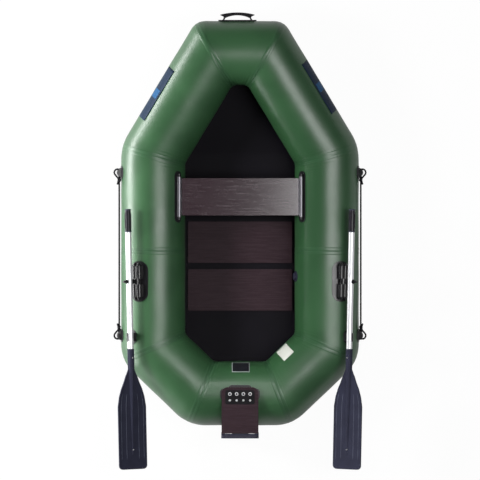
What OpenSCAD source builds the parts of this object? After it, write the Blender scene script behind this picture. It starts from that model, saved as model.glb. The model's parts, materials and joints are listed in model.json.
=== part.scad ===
// Inflatable rowing boat: a mitred ring of air tubes with a raised bow, a fabric
// bottom, two floor boards, a sliding bench seat, a hung motor transom and two
// stowed oars on tilting pin oarlocks.
// Millimetres. +X starboard, +Y bow, +Z up, floor at z = 0.

/* [Overall] */
// Length of the tube ring from bow to stern
hull_length = 2205; // [1900:5:2600]
// Width over the tubes
beam = 1298; // [1150:2:1500]
// Diameter of the air tubes
tube_d = 350; // [300:2:400]
// How far the bow tube stands above the side tubes
bow_rise = 85; // [0:5:160]

/* [Tube ring] */
// Distance of the aft tube face behind the origin
stern_reach = 1012; // [900:2:1200]
// Half width of the bow tube's centre line
bow_corner_x = 140; // [100:2:220]
// Half width of the stern tube's centre line
stern_corner_x = 212; // [150:2:300]
// Length of the bow quarters along the boat
bow_quarter_run = 551; // [400:1:700]
// Length of the stern quarters along the boat
stern_quarter_run = 251; // [180:1:350]
// Where the bulkhead between the two air chambers crosses the side tubes
chamber_seam_y = -60; // [-200:5:200]
// Bend radius of the centre line at the bow corners, below 0 for a tighter outer corner
bow_corner_bend = -80; // [-150:5:150]
// Bend radius of the centre line where the bow quarters meet the sides
front_corner_bend = 100; // [-100:5:170]
// Bend radius of the centre line where the stern quarters meet the sides
rear_corner_bend = 45; // [-100:5:170]
// Bend radius of the centre line at the stern corners
stern_corner_bend = 55; // [-100:5:150]

/* [Bottom and floor boards] */
// Height of the bottom fabric above the floor
bottom_gap = 8; // [4:1:20]
// Thickness of the bottom fabric
bottom_t = 4; // [2:0.5:8]
// Width of the floor boards
floor_board_w = 572; // [480:2:600]
// Length of each floor board along the boat
floor_board_l = 227; // [150:1:300]
// Thickness of the floor boards
floor_board_t = 12; // [6:1:20]
// Centre of the forward floor board
forward_plate_aft_y = -12; // [-100:1:100]
// Centre of the aft floor board
aft_plate_aft_y = -274; // [-350:1:-240]

/* [Seat] */
// How far the seat board stops short of the middle of each rail's bead
seat_end_gap = 15.316; // [14:0.5:32]
// Depth of the seat board along the boat
seat_l = 202; // [180:1:260]
// Thickness of the seat board
seat_t = 15; // [10:1:20]
// Centre of the seat in its parked place
seat_y = 235; // [150:1:280]
// Length of the rails on the tubes
rail_l = 280; // [240:1:340]
// Diameter of the rail bead
rail_bead_d = 14; // [10:1:18]
// Angle of the rail inboard from the top of the tube
rail_angle = 48; // [44:0.5:52]
// Length of the channels at the seat ends
track_l = 218; // [180:1:240]

/* [Oarlocks] */
// Where the oarlocks sit along the boat
oarlock_y = -225; // [-400:5:0]
// Angle of the oarlock outboard from the top of the tube
oarlock_angle = 25; // [20:0.5:30]
// Height of the tilt axis above the tube skin
tilt_axis_lift = 26; // [24:1:34]
// Width of the two ridged blocks that the oarlock tilts between
barrel_d = 52; // [40:1:56]
// Elevation of the oar pin when the oar is stowed
pin_rest_angle = 34; // [32:1:40]
// Distance from the tilt axis to the oar's centre line
pin_reach = 50; // [48:1:60]
// How far the stowed oars converge towards the stern
oar_yaw = 1.2; // [0:0.1:2]

/* [Oars] */
// Diameter of the oar shaft
shaft_d = 32; // [26:1:36]
// Length from the pin to the end of the grip
inboard_l = 394; // [340:1:440]
// Length of the grip
grip_l = 126; // [100:1:150]
// Length from the pin to the root of the blade
outboard_l = 365; // [300:1:420]
// Length of the blade
blade_l = 652; // [500:1:680]
// Width of the blade
blade_w = 178; // [130:1:190]
// Thickness of the blade
blade_t = 5; // [3:0.5:8]

/* [Stern and bow fittings] */
// Width of the motor transom
transom_w = 200; // [180:1:260]
// Height of the motor board
motor_board_h = 310; // [220:5:330]
// Thickness of the motor board
motor_board_t = 25; // [18:1:30]
// Offset of the bow handle from the middle
handle_x = -14; // [-30:1:30]
// Width of the bow handle
handle_w = 186; // [160:1:220]
// How far the bow handle stands off the tube
handle_reach = 46; // [42:1:60]

/* [View] */
// Sub-part to draw, or all

/* [Hidden] */
tube_r = tube_d / 2;
side_x = beam / 2 - tube_r;
stern_y = -stern_reach + tube_r;
bow_y = hull_length - stern_reach - tube_r;
front_y = bow_y - bow_quarter_run;
rear_y = stern_y + stern_quarter_run;
bow_point = [bow_corner_x, bow_y, tube_r + bow_rise];
front_point = [side_x, front_y, tube_r];
seam_point = [side_x, chamber_seam_y, tube_r];
rear_point = [side_x, rear_y, tube_r];
stern_point = [stern_corner_x, stern_y, tube_r];
bottom_top = bottom_gap + bottom_t;
bow_slope = atan2(bow_rise, bow_quarter_run);
patch_t = 3;
glue_line = 0.03;
slack = 0.6;
bead_lift = tube_r + patch_t + rail_bead_d;
bead_x = side_x - bead_lift * sin(rail_angle);
bead_z = tube_r + bead_lift * cos(rail_angle);
seat_w = 2 * (bead_x - seat_end_gap);
track_ring_r = rail_bead_d / 2 + 4.5;
seat_z = bead_z - rail_bead_d / 2 - 2;
tilt_r = tube_r + tilt_axis_lift;
tilt_x = side_x + tilt_r * sin(oarlock_angle);
tilt_z = tube_r + tilt_r * cos(oarlock_angle);
shaft_r = shaft_d / 2;
pin_d = 12;
collar_l = 8;
eyelet_lift = tube_r + 14;
eyelet_angle = 78;
line_d = 10;
eyelet_ys = [368, -521];
plate_t = 12;
plate_fore_y = stern_y + 38;
plate_aft_y = -stern_reach - 40;
plate_z = tube_d + 8;
handle_z = tube_r + bow_rise;
rubber = [0.09, 0.09, 0.10];
pvc = [0.16, 0.34, 0.20];
ply = [0.19, 0.13, 0.13];
alloy = [0.88, 0.88, 0.90];

// ---------- small helpers ----------
function unit(v) = v / norm(v);
function mirrored(p) = [-p[0], p[1], p[2]];
function basis(o, x, z) =
    let (y = cross(z, x))
    [[x[0], y[0], z[0], o[0]],
     [x[1], y[1], z[1], o[1]],
     [x[2], y[2], z[2], o[2]],
     [0, 0, 0, 1]];

// a flat rectangle with round corners, centred
module round_rect(w, l, r) {
    square([w - 2 * r, l], center = true);
    square([w, l - 2 * r], center = true);
    for (sx = [-1, 1])
        for (sy = [-1, 1])
            translate([sx * (w / 2 - r), sy * (l / 2 - r)])
                circle(r = r, $fn = 32);
}

// a rod along Y, centred
module rod_y(d, l, fn = 32) {
    rotate([90, 0, 0])
        cylinder(d = d, h = l, center = true, $fn = fn);
}

// ---------- the tube ring ----------
// Each bend of the ring is a mitre whose outer side is a slice of a torus about
// an axis set back from the corner, so it is round outside and creased inside.
function half_turn(from, at, to) = acos(unit(at - from) * unit(to - at)) / 2;
function set_back(from, at, to, bend) = bend * tan(half_turn(from, at, to));
// the roll about a tube's own axis (y, with z across it) that turns x to the
// outer side of the bend at its end
function bend_roll(from, at, to, y, z) =
    let (out = unit(at - from) - unit(to - at))
    atan2(-(out * z), out * cross(y, z));

// the slice of torus that rounds the outer side of one end, in a frame with the
// tube's end at the origin, its axis along y and the outer side towards x
module bend_slice(half, bend) {
    translate([-bend, 0, 0])
        rotate_extrude(angle = half, $fn = 180)
            intersection() {
                translate([bend, 0])
                    circle(r = tube_r, $fn = 72);
                translate([0, -tube_r])
                    square([bend + tube_r, tube_d]);
            }
}

module past_mitre(half, bend) {
    big = 4 * tube_d;
    translate([-bend, 0, 0])
        rotate([0, 0, half])
            translate([-big / 2, 0, -big / 2])
                cube([big, big, big]);
}

// the tube from a to b; the ring comes from p before a and goes on to q after b,
// and a tube whose p is undef starts square at a. seam turns the lap seam about
// the tube's axis
module tube(p, a, b, q, bend_a, bend_b, seam = 0) {
    y = unit(b - a);
    z = unit([0, 0, 1] - y[2] * y);
    square_start = is_undef(p);
    back_a = square_start ? 0 : set_back(b, a, p, bend_a);
    back_b = set_back(a, b, q, bend_b);
    l = norm(b - a) - back_a - back_b;
    multmatrix(basis(a + y * back_a, cross(y, z), z)) {
        difference() {
            rotate([-90, 0, 0])
                rotate([0, 0, seam])
                    cylinder(r = tube_r, h = l, $fn = 72);
            translate([0, l, 0])
                rotate([0, bend_roll(a, b, q, y, z), 0])
                    past_mitre(half_turn(a, b, q), bend_b);
            if (!square_start)
                rotate([0, bend_roll(b, a, p, y, z), 0])
                    mirror([0, 1, 0])
                        past_mitre(half_turn(b, a, p), bend_a);
        }
        translate([0, l, 0])
            rotate([0, bend_roll(a, b, q, y, z), 0])
                bend_slice(half_turn(a, b, q), bend_b);
        if (!square_start)
            rotate([0, bend_roll(b, a, p, y, z), 0])
                mirror([0, 1, 0])
                    bend_slice(half_turn(b, a, p), bend_a);
    }
}

module bow_tube() {
    color(pvc)
        tube(mirrored(front_point), mirrored(bow_point), bow_point, front_point,
             bow_corner_bend, bow_corner_bend);
}

module starboard_bow_quarter_tube() {
    color(pvc)
        tube(mirrored(bow_point), bow_point, front_point, seam_point,
             bow_corner_bend, front_corner_bend, 10);
}

module port_bow_quarter_tube() {
    mirror([1, 0, 0])
        starboard_bow_quarter_tube();
}

module starboard_forward_side_tube() {
    color(pvc)
        tube(undef, seam_point, front_point - [0, glue_line, 0], bow_point, 0,
             front_corner_bend, 180);
}

module port_forward_side_tube() {
    mirror([1, 0, 0])
        starboard_forward_side_tube();
}

module starboard_aft_side_tube() {
    color(pvc)
        tube(undef, seam_point, rear_point, stern_point, 0, rear_corner_bend);
}

module port_aft_side_tube() {
    mirror([1, 0, 0])
        starboard_aft_side_tube();
}

module starboard_stern_quarter_tube() {
    color(pvc)
        tube(seam_point, rear_point, stern_point, mirrored(stern_point),
             rear_corner_bend, stern_corner_bend);
}

module port_stern_quarter_tube() {
    mirror([1, 0, 0])
        starboard_stern_quarter_tube();
}

module stern_tube() {
    color(pvc)
        tube(mirrored(rear_point), mirrored(stern_point), stern_point, rear_point,
             stern_corner_bend, stern_corner_bend, 180);
}

// ---------- bottom and floor ----------
// how far inboard of a tube's axis a sheet stands clear when its top lies depth
// below the axis
function sheet_inset(depth) = sqrt(tube_r * tube_r - depth * depth) + 0.4;
// a corner of a flat outline moved in by d from both edges that meet there
function inset_corner(before, at, after, d) =
    let (e1 = unit(at - before), e2 = unit(after - at),
         n1 = [-e1[1], e1[0]], n2 = [-e2[1], e2[0]])
    at + d * (n1 + n2) / (1 + n1 * n2);

// a level sheet between the side tubes, and a sloping one up to the bow tube
module bottom_fabric() {
    level_in = sheet_inset(tube_r - bottom_top);
    stern_in = inset_corner([-stern_corner_x, stern_y], [stern_corner_x, stern_y],
                            [side_x, rear_y], level_in);
    rear_in = inset_corner([stern_corner_x, stern_y], [side_x, rear_y],
                           [side_x, front_y], level_in);
    axis_depth = (tube_r - bottom_gap) * cos(bow_slope);
    slope_in = sheet_inset(axis_depth - bottom_t);
    front_v = (tube_r - bottom_gap) * sin(bow_slope);
    bow_v = front_v + norm([bow_quarter_run, bow_rise]);
    front_in = inset_corner([side_x, front_v - 1], [side_x, front_v],
                            [bow_corner_x, bow_v], slope_in);
    bow_in = inset_corner([side_x, front_v], [bow_corner_x, bow_v],
                          [-bow_corner_x, bow_v], slope_in);
    crease_x = front_in[0] + (bow_in[0] - front_in[0])
        * max(0, -front_in[1]) / (bow_in[1] - front_in[1]);
    half_level = [stern_in, rear_in, [rear_in[0], front_y - 30], [crease_x - 1, front_y]];
    half_slope = [[crease_x - 1, 0], bow_in];
    color(rubber) {
        translate([0, 0, bottom_gap])
            linear_extrude(bottom_t)
                for (s = [0, 1])
                    mirror([s, 0])
                        polygon(concat([[0, stern_in[1]]], half_level, [[0, front_y]]));
        translate([0, front_y, bottom_gap])
            rotate([bow_slope, 0, 0])
                linear_extrude(bottom_t)
                    for (s = [0, 1])
                        mirror([s, 0])
                            polygon(concat([[0, 0]], half_slope, [[0, bow_in[1]]]));
    }
}

module floor_board(y) {
    color(ply)
        translate([0, y, bottom_top])
            linear_extrude(floor_board_t)
                round_rect(floor_board_w, floor_board_l, 5);
}

module forward_floor_board() {
    floor_board(forward_plate_aft_y);
}

module aft_floor_board() {
    floor_board(aft_plate_aft_y);
}

// ---------- pads on a side tube ----------
// moves its children to a place on the starboard side tube, Z pointing out of it
module on_side(angle, y) {
    translate([side_x, y, tube_r])
        rotate([0, angle, 0])
            children();
}

// a moulded pad that follows the tube, in the frame of on_side
module pad(w, l, r, t = patch_t) {
    difference() {
        intersection() {
            rod_y(tube_d + 2 * t, l + 2, 120);
            linear_extrude(tube_r + t + 1)
                round_rect(w, l, r);
        }
        rod_y(tube_d, l + 4, 120);
    }
}

// ---------- seat ----------
module seat_board() {
    color(ply)
        translate([0, seat_y, seat_z])
            linear_extrude(seat_t)
                round_rect(seat_w, seat_l, 4);
}

module starboard_seat_rail() {
    stem_w = 4;
    color(rubber) {
        on_side(-rail_angle - 3, seat_y)
            pad(52, rail_l, 24);
        on_side(-rail_angle, seat_y) {
            translate([0, 0, bead_lift])
                rod_y(rail_bead_d, rail_l - 30);
            translate([-stem_w / 2, -rail_l / 2 + 15, tube_r + 1])
                cube([stem_w, rail_l - 30, bead_lift - tube_r - 1]);
        }
    }
}

module port_seat_rail() {
    mirror([1, 0, 0])
        starboard_seat_rail();
}

// a channel that grips the rail bead, with a flange under the seat board
module starboard_seat_track() {
    flange_t = 4;
    flange_w = 56;
    slot_w = 9;
    bore_r = rail_bead_d / 2 + slack;
    color(alloy)
        translate([bead_x, seat_y, bead_z])
            rotate([90, 0, 0]) {
                linear_extrude(track_l, center = true)
                    difference() {
                        circle(r = track_ring_r, $fn = 48);
                        circle(r = bore_r, $fn = 48);
                        rotate(rail_angle - 90)
                            translate([0, -slot_w / 2])
                                square([2 * track_ring_r, slot_w]);
                    }
                linear_extrude(seat_l - 8, center = true)
                    difference() {
                        translate([-flange_w, seat_z - bead_z - flange_t])
                            square([flange_w, flange_t]);
                        circle(r = bore_r, $fn = 48);
                    }
            }
}

module port_seat_track() {
    mirror([1, 0, 0])
        starboard_seat_track();
}

// ---------- oarlocks and oars ----------
// the tilt axis of the starboard oarlock, turned with the stowed oar
module at_tilt_axis() {
    translate([tilt_x, oarlock_y, tilt_z])
        rotate([0, 0, -oar_yaw])
            children();
}

// the oar's frame: origin where pin and shaft cross, X along the pin, -Y to the blade
module at_pin() {
    at_tilt_axis()
        rotate([0, -pin_rest_angle, 0])
            translate([pin_reach, 0, 0])
                children();
}

module starboard_oarlock_base() {
    knuckle_gap = 31;
    barrel_l = 200;
    arm_l = (barrel_l - knuckle_gap) / 2;
    nose_l = 16;
    ridge_d = barrel_d * 0.56;
    ridge_x = (barrel_d - ridge_d) / 2;
    foot_z = tube_r + 0.5;
    color(rubber) {
        on_side(oarlock_angle, oarlock_y)
            pad(100, 222, 49);
        for (s = [-1, 1]) {
            at_tilt_axis()
                rotate([0, oarlock_angle, 0])
                    for (x = [-ridge_x, ridge_x])
                        translate([x, 0, 0])
                            rotate([-90 * s, 0, 0]) {
                                translate([0, 0, knuckle_gap / 2])
                                    cylinder(d = ridge_d, h = arm_l - nose_l, $fn = 48);
                                translate([0, 0, knuckle_gap / 2 + arm_l - nose_l])
                                    cylinder(d1 = ridge_d, d2 = 12, h = nose_l, $fn = 48);
                            }
            on_side(oarlock_angle, oarlock_y)
                translate([-barrel_d / 2 + 1, s * knuckle_gap / 2, foot_z])
                    mirror([0, s < 0 ? 1 : 0, 0])
                        cube([barrel_d - 2, arm_l - nose_l, tilt_r - foot_z]);
        }
    }
}

module port_oarlock_base() {
    mirror([1, 0, 0])
        starboard_oarlock_base();
}

// the knuckle that rocks between the two barrels and ends in the pin's face
module starboard_oarlock_swivel() {
    knuckle_d = 34;
    color(rubber)
        at_tilt_axis()
            rotate([0, -pin_rest_angle, 0])
                difference() {
                    union() {
                        rod_y(knuckle_d, 30, 48);
                        rotate([0, 90, 0])
                            cylinder(d = 22, h = pin_reach - shaft_r - collar_l - 0.6, $fn = 48);
                    }
                    translate([8, 0, 0])
                        rotate([0, 90, 0])
                            cylinder(d = pin_d + 0.1, h = pin_reach, $fn = 48);
                }
}

module port_oarlock_swivel() {
    mirror([1, 0, 0])
        starboard_oarlock_swivel();
}

// the bolt through the shaft: its shank turns in the knuckle, its nut is outboard
module starboard_oar_pin() {
    color(rubber)
        at_pin()
            difference() {
                union() {
                    translate([-pin_reach + 10, 0, 0])
                        rotate([0, 90, 0])
                            cylinder(d = pin_d, h = pin_reach - 10 + shaft_r + 22, $fn = 48);
                    translate([-shaft_r - collar_l, 0, 0])
                        rotate([0, 90, 0])
                            cylinder(d = 26, h = collar_l + 4, $fn = 48);
                    translate([shaft_r - 4, 0, 0])
                        rotate([0, 90, 0])
                            cylinder(d = 24, h = 6, $fn = 48);
                    translate([shaft_r + 1, 0, 0])
                        rotate([0, 90, 0])
                            cylinder(d = 19, h = 10, $fn = 6);
                }
                rod_y(shaft_d, 100, 72);
            }
}

module port_oar_pin() {
    mirror([1, 0, 0])
        starboard_oar_pin();
}

module starboard_oar_shaft() {
    color(alloy)
        at_pin()
            translate([0, (inboard_l - grip_l - outboard_l) / 2, 0])
                rod_y(shaft_d, inboard_l - grip_l + outboard_l, 72);
}

module port_oar_shaft() {
    mirror([1, 0, 0])
        starboard_oar_shaft();
}

// a moulded grip: a collar at the tube, a sleeve, a swell for the palm and a flat
// end with a small round edge
module starboard_oar_grip() {
    r = shaft_r;
    edge_r = 4;
    color(rubber)
        at_pin()
            translate([0, inboard_l - grip_l, 0])
                rotate([-90, 0, 0])
                    rotate_extrude($fn = 72)
                        union() {
                            square([r + 1.5, 12]);
                            square([r - 1, grip_l - edge_r]);
                            translate([0, grip_l * 0.2])
                                square([r + 0.5, grip_l * 0.6]);
                            square([r - 1 - edge_r, grip_l]);
                            translate([r - 1 - edge_r, grip_l - edge_r])
                                circle(r = edge_r, $fn = 32);
                        }
}

module port_oar_grip() {
    mirror([1, 0, 0])
        starboard_oar_grip();
}

// the blade's flat outline, root at y = 0 and tip towards -y
module blade_outline() {
    half = blade_w / 2;
    neck = 20;
    polygon([[neck, 0], [neck, -0.17 * blade_l], [0.42 * half, -0.232 * blade_l],
             [0.56 * half, -0.282 * blade_l], [0.74 * half, -0.334 * blade_l],
             [0.90 * half, -0.40 * blade_l], [half, -0.48 * blade_l],
             [half, -blade_l + 18], [half - 4, -blade_l + 9], [half - 13, -blade_l + 4],
             [0, -blade_l], [-half + 13, -blade_l + 4], [-half + 4, -blade_l + 9],
             [-half, -blade_l + 18], [-half, -0.48 * blade_l],
             [-0.90 * half, -0.40 * blade_l], [-0.74 * half, -0.334 * blade_l],
             [-0.56 * half, -0.282 * blade_l], [-0.42 * half, -0.232 * blade_l],
             [-neck, -0.17 * blade_l], [-neck, 0]]);
}

module starboard_oar_blade() {
    color(rubber)
        at_pin()
            translate([0, -outboard_l, 0]) {
                translate([0, 0, -blade_t / 2])
                    linear_extrude(blade_t)
                        blade_outline();
                rotate([90, 0, 0])
                    cylinder(r = shaft_r + 2.5, h = 0.12 * blade_l, $fn = 48);
                translate([0, -0.12 * blade_l, 0])
                    rotate([90, 0, 0])
                        cylinder(r1 = shaft_r + 2.5, r2 = 5, h = 0.76 * blade_l, $fn = 48);
            }
}

module port_oar_blade() {
    mirror([1, 0, 0])
        starboard_oar_blade();
}

// a rubber cup on a foot: it holds the stowed shaft from below
module starboard_oar_clip() {
    clip_y = -302;
    clip_l = 46;
    cup_r = shaft_r + 5;
    stem_w = 12;
    stem_foot = tube_r + 0.5;
    shaft_x = tilt_x + pin_reach * cos(pin_rest_angle) - side_x + clip_y * sin(oar_yaw);
    shaft_z = tilt_z + pin_reach * sin(pin_rest_angle) - tube_r;
    lean = atan2(shaft_x, shaft_z);
    stem_l = norm([shaft_x, shaft_z]) - shaft_r - 3 - stem_foot;
    color(rubber) {
        on_side(lean + 10, oarlock_y + clip_y)
            pad(56, 78, 27);
        on_side(lean, oarlock_y + clip_y)
            translate([2, -clip_l / 2, stem_foot])
                cube([stem_w, clip_l, stem_l]);
        at_pin()
            translate([0, clip_y, 0])
                difference() {
                    rod_y(2 * cup_r, clip_l, 48);
                    rod_y(shaft_d + slack, clip_l + 2, 72);
                    translate([-cup_r - 1, -clip_l / 2 - 1, 3])
                        cube([2 * cup_r + 2, clip_l + 2, cup_r]);
                }
    }
}

module port_oar_clip() {
    mirror([1, 0, 0])
        starboard_oar_clip();
}

// ---------- grab lines ----------
// a lug on a pad, round when it is seen from above, with a hole for the line
module starboard_line_eyelets() {
    lug_d = 52;
    lug_t = 22;
    color(rubber)
        for (y = eyelet_ys)
            on_side(eyelet_angle, y) {
                pad(64, 74, 30);
                difference() {
                    translate([-lug_t / 2, 0, tube_r])
                        rotate([0, 90, 0])
                            cylinder(d = lug_d, h = lug_t, $fn = 60);
                    translate([0, 0, eyelet_lift])
                        rod_y(line_d + 2, 60, 32);
                    rod_y(tube_d + 1, 80, 120);
                }
            }
}

module port_line_eyelets() {
    mirror([1, 0, 0])
        starboard_line_eyelets();
}

module starboard_grab_line() {
    mid = (eyelet_ys[0] + eyelet_ys[1]) / 2;
    span = eyelet_ys[0] - eyelet_ys[1];
    color(rubber)
        on_side(eyelet_angle, mid)
            translate([0, 0, eyelet_lift]) {
                rod_y(line_d, span + 72);
                for (s = [-1, 1])
                    for (place = [span / 2 + 34, span / 2 - 34])
                        translate([0, s * place, 0])
                            sphere(d = 18, $fn = 32);
            }
}

module port_grab_line() {
    mirror([1, 0, 0])
        starboard_grab_line();
}

// ---------- bow handle ----------
// seen from above, with the tube's face at y = 0: an arched bar whose ends reach
// past two splayed legs
module handle_outline() {
    tip_x = handle_w / 2;
    arch_r = 372;
    grip_r = 153;
    grip_t = 14.5;
    difference() {
        intersection() {
            translate([0, handle_reach - arch_r])
                circle(r = arch_r, $fn = 360);
            polygon([[-tip_x + 10, 3], [-tip_x + 19, 17], [-tip_x + 16, 25], [-tip_x, 32],
                     [-tip_x, handle_reach], [tip_x, handle_reach],
                     [tip_x, 32], [tip_x - 16, 25], [tip_x - 19, 17], [tip_x - 10, 3]]);
        }
        intersection() {
            translate([0, handle_reach - grip_t - grip_r])
                circle(r = grip_r, $fn = 180);
            polygon([[-tip_x + 20, 0], [-tip_x + 33, 34], [tip_x - 33, 34], [tip_x - 20, 0]]);
        }
    }
}

module bow_handle() {
    foot_w = handle_w + 22;
    foot_t = 6;
    bar_h = 34;
    color(rubber)
        translate([handle_x, bow_y, handle_z]) {
            difference() {
                intersection() {
                    rotate([0, 90, 0])
                        cylinder(r = tube_r + foot_t, h = foot_w, center = true, $fn = 120);
                    rotate([-90, 0, 0])
                        linear_extrude(tube_r + foot_t + 1)
                            round_rect(foot_w, 72, 30);
                }
                rotate([0, 90, 0])
                    cylinder(r = tube_r, h = 2 * foot_w, center = true, $fn = 120);
            }
            translate([0, tube_r, -bar_h / 2])
                linear_extrude(bar_h)
                    handle_outline();
        }
}

// ---------- motor transom ----------
// the rubber block between the stern tube and the plate: wide under the plate's
// sides, with a tongue that shows in front of it
module transom_pad() {
    pad_w = transom_w + 16;
    tongue_w = transom_w * 0.64;
    color(rubber)
        difference() {
            translate([0, stern_y, tube_r + 120])
                linear_extrude(plate_z - tube_r - 120) {
                    round_rect(pad_w, 60, 20);
                    translate([0, 6])
                        round_rect(tongue_w, 88, 20);
                }
            translate([0, stern_y, tube_r])
                rotate([0, 90, 0])
                    cylinder(r = tube_r, h = 2 * transom_w, center = true, $fn = 120);
        }
}

// a board with large corners in front and small ones behind
module transom_plate() {
    board_gap = 3;
    l = plate_fore_y - plate_aft_y - board_gap;
    fore_r = 34;
    aft_r = 8;
    color(ply)
        translate([0, plate_fore_y - l / 2, plate_z])
            linear_extrude(plate_t)
                intersection() {
                    translate([0, -fore_r])
                        round_rect(transom_w, l + 2 * fore_r, fore_r);
                    translate([0, aft_r])
                        round_rect(transom_w, l + 2 * aft_r, aft_r);
                }
}

module motor_board() {
    color(ply)
        translate([0, plate_aft_y, plate_z + plate_t + 6 - motor_board_h / 2])
            rotate([90, 0, 0])
                linear_extrude(motor_board_t)
                    round_rect(transom_w + 4, motor_board_h, 22);
}

// two angle irons that carry the motor board under the plate
module transom_brackets() {
    iron_t = 5;
    iron_w = 36;
    leg = 70;
    color(alloy)
        for (s = [-1, 1])
            translate([s * 62 - iron_w / 2, 0, 0]) {
                translate([0, plate_aft_y, plate_z - iron_t])
                    cube([iron_w, leg, iron_t]);
                translate([0, plate_aft_y, plate_z - leg])
                    cube([iron_w, iron_t, leg]);
            }
}

// ---------- valves ----------
module inflation_valves() {
    color(rubber)
        for (p = [[1, -76, -199], [-1, -74, 205]])
            mirror([p[0] > 0 ? 0 : 1, 0, 0])
                on_side(p[1], p[2]) {
                    difference() {
                        cylinder(d = 62, h = tube_r + 2, $fn = 48);
                        rod_y(tube_d, 100, 120);
                    }
                    translate([0, 0, tube_r])
                        cylinder(d = 40, h = 11, $fn = 48);
                }
}

// ---------- assembly ----------
bow_tube();
port_bow_quarter_tube();
starboard_bow_quarter_tube();
port_forward_side_tube();
starboard_forward_side_tube();
port_aft_side_tube();
starboard_aft_side_tube();
port_stern_quarter_tube();
starboard_stern_quarter_tube();
stern_tube();
bottom_fabric();
forward_floor_board();
aft_floor_board();
seat_board();
port_seat_track();
starboard_seat_track();
port_seat_rail();
starboard_seat_rail();
port_oarlock_base();
starboard_oarlock_base();
port_oarlock_swivel();
starboard_oarlock_swivel();
port_oar_pin();
starboard_oar_pin();
port_oar_shaft();
starboard_oar_shaft();
port_oar_grip();
starboard_oar_grip();
port_oar_blade();
starboard_oar_blade();
port_oar_clip();
starboard_oar_clip();
port_line_eyelets();
starboard_line_eyelets();
port_grab_line();
starboard_grab_line();
bow_handle();
transom_pad();
transom_plate();
motor_board();
transom_brackets();
inflation_valves();
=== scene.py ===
# %% [markdown]
# # An inflatable rowing boat, dressed for its portrait
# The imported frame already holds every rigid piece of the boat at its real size.
# This script gives those pieces their finish and models what is soft or small
# on the real boat: the skins of the air tubes, the stretched bottom, the ropes,
# the ribs of the blades and the bolts of the transom.

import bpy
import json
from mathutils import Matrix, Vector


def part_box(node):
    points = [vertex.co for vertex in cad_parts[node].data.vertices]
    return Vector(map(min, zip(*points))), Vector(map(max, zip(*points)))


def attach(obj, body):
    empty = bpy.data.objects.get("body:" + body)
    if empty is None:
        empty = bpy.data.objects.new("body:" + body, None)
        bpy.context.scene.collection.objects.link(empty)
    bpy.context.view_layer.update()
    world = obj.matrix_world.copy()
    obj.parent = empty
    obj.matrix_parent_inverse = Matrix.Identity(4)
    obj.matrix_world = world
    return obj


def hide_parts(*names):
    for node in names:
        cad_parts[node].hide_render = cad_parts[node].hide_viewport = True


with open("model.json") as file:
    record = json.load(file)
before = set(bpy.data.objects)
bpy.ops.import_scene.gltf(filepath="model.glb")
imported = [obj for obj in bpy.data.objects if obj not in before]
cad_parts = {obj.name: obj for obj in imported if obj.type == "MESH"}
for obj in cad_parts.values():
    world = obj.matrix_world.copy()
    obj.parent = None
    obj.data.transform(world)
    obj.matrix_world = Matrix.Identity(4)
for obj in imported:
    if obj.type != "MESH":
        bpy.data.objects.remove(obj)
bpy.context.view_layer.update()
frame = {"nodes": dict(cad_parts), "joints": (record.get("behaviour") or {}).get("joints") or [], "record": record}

import json
import math
from collections import namedtuple

import bmesh
import bpy
import numpy as np
from mathutils import Matrix, Vector, noise

SIDES = {"port": -1, "starboard": 1}

# %% [markdown]
# ## Places on the boat
# The ring is a chain of straight tubes that meet in mitres. Everything soft
# follows it, so its radius and its corner points are read from the frame. A
# corner is where a tube's own axis meets its mitred end face.


# %% Read the ring's places from the frame
def low(node):
    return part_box(node)[0]


def high(node):
    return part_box(node)[1]


def corner_point(node, on_axis, heading):
    """Where the axis of a CAD tube meets the mitred end that faces heading."""
    mesh = frame["nodes"][node].data
    ends = [p for p in mesh.polygons if p.normal.dot(heading) > MITRE_FACING]
    area = sum(p.area for p in ends)
    normal = sum((p.normal * p.area for p in ends), Vector()).normalized()
    centre = sum((p.center * p.area for p in ends), Vector()) / area
    return on_axis + heading * ((centre - on_axis).dot(normal) / heading.dot(normal))


def mirrored(point):
    return Vector((-point.x, point.y, point.z))


X, Y, Z = Vector((1, 0, 0)), Vector((0, 1, 0)), Vector((0, 0, 1))
MITRE_FACING = 0.8
TUBE_R = (high("stern_tube").z - low("stern_tube").z) / 2
SIDE_X = high("starboard_aft_side_tube").x - TUBE_R
SEAM_Y = low("starboard_forward_side_tube").y
seam_point = Vector((SIDE_X, SEAM_Y, TUBE_R))
stern_axis = Vector((0, low("stern_tube").y + TUBE_R, TUBE_R))
bow_axis = Vector((0, high("bow_tube").y - TUBE_R, high("bow_tube").z - TUBE_R))
front_point = corner_point("starboard_forward_side_tube", seam_point, Y)
rear_point = corner_point("starboard_aft_side_tube", seam_point, -Y)
stern_point = corner_point("stern_tube", stern_axis, X)
bow_point = corner_point("bow_tube", bow_axis, X)
print("tube radius", round(TUBE_R, 4))
for label, point in (("front", front_point), ("rear", rear_point),
                     ("stern", stern_point), ("bow", bow_point)):
    print(label, "corner", [round(c, 4) for c in point])

# %% [markdown]
# ## The camera, the floor and the light
# The boat lies on a white studio floor and is seen from straight above. The
# camera hangs far up with a long lens, so that the tubes hide little of the
# inside.

# %% Hang the camera
def set_up(name, data):
    """An object that holds the data, in the scene."""
    made = bpy.data.objects.new(name, data)
    bpy.context.scene.collection.objects.link(made)
    return made


CAMERA_HEIGHT = 30.0
VIEW_WIDTH = 2.62
VIEW_PLANE = 0.2
SENSOR_MM = 36.0
camera = set_up("camera", bpy.data.cameras.new("camera"))
camera.data.sensor_width = SENSOR_MM
camera.data.lens = SENSOR_MM * (CAMERA_HEIGHT - VIEW_PLANE) / VIEW_WIDTH
camera.data.clip_end = 200
camera.location = (0, 0, CAMERA_HEIGHT)
bpy.context.scene.camera = camera
print("lens", round(camera.data.lens), "mm")

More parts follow.
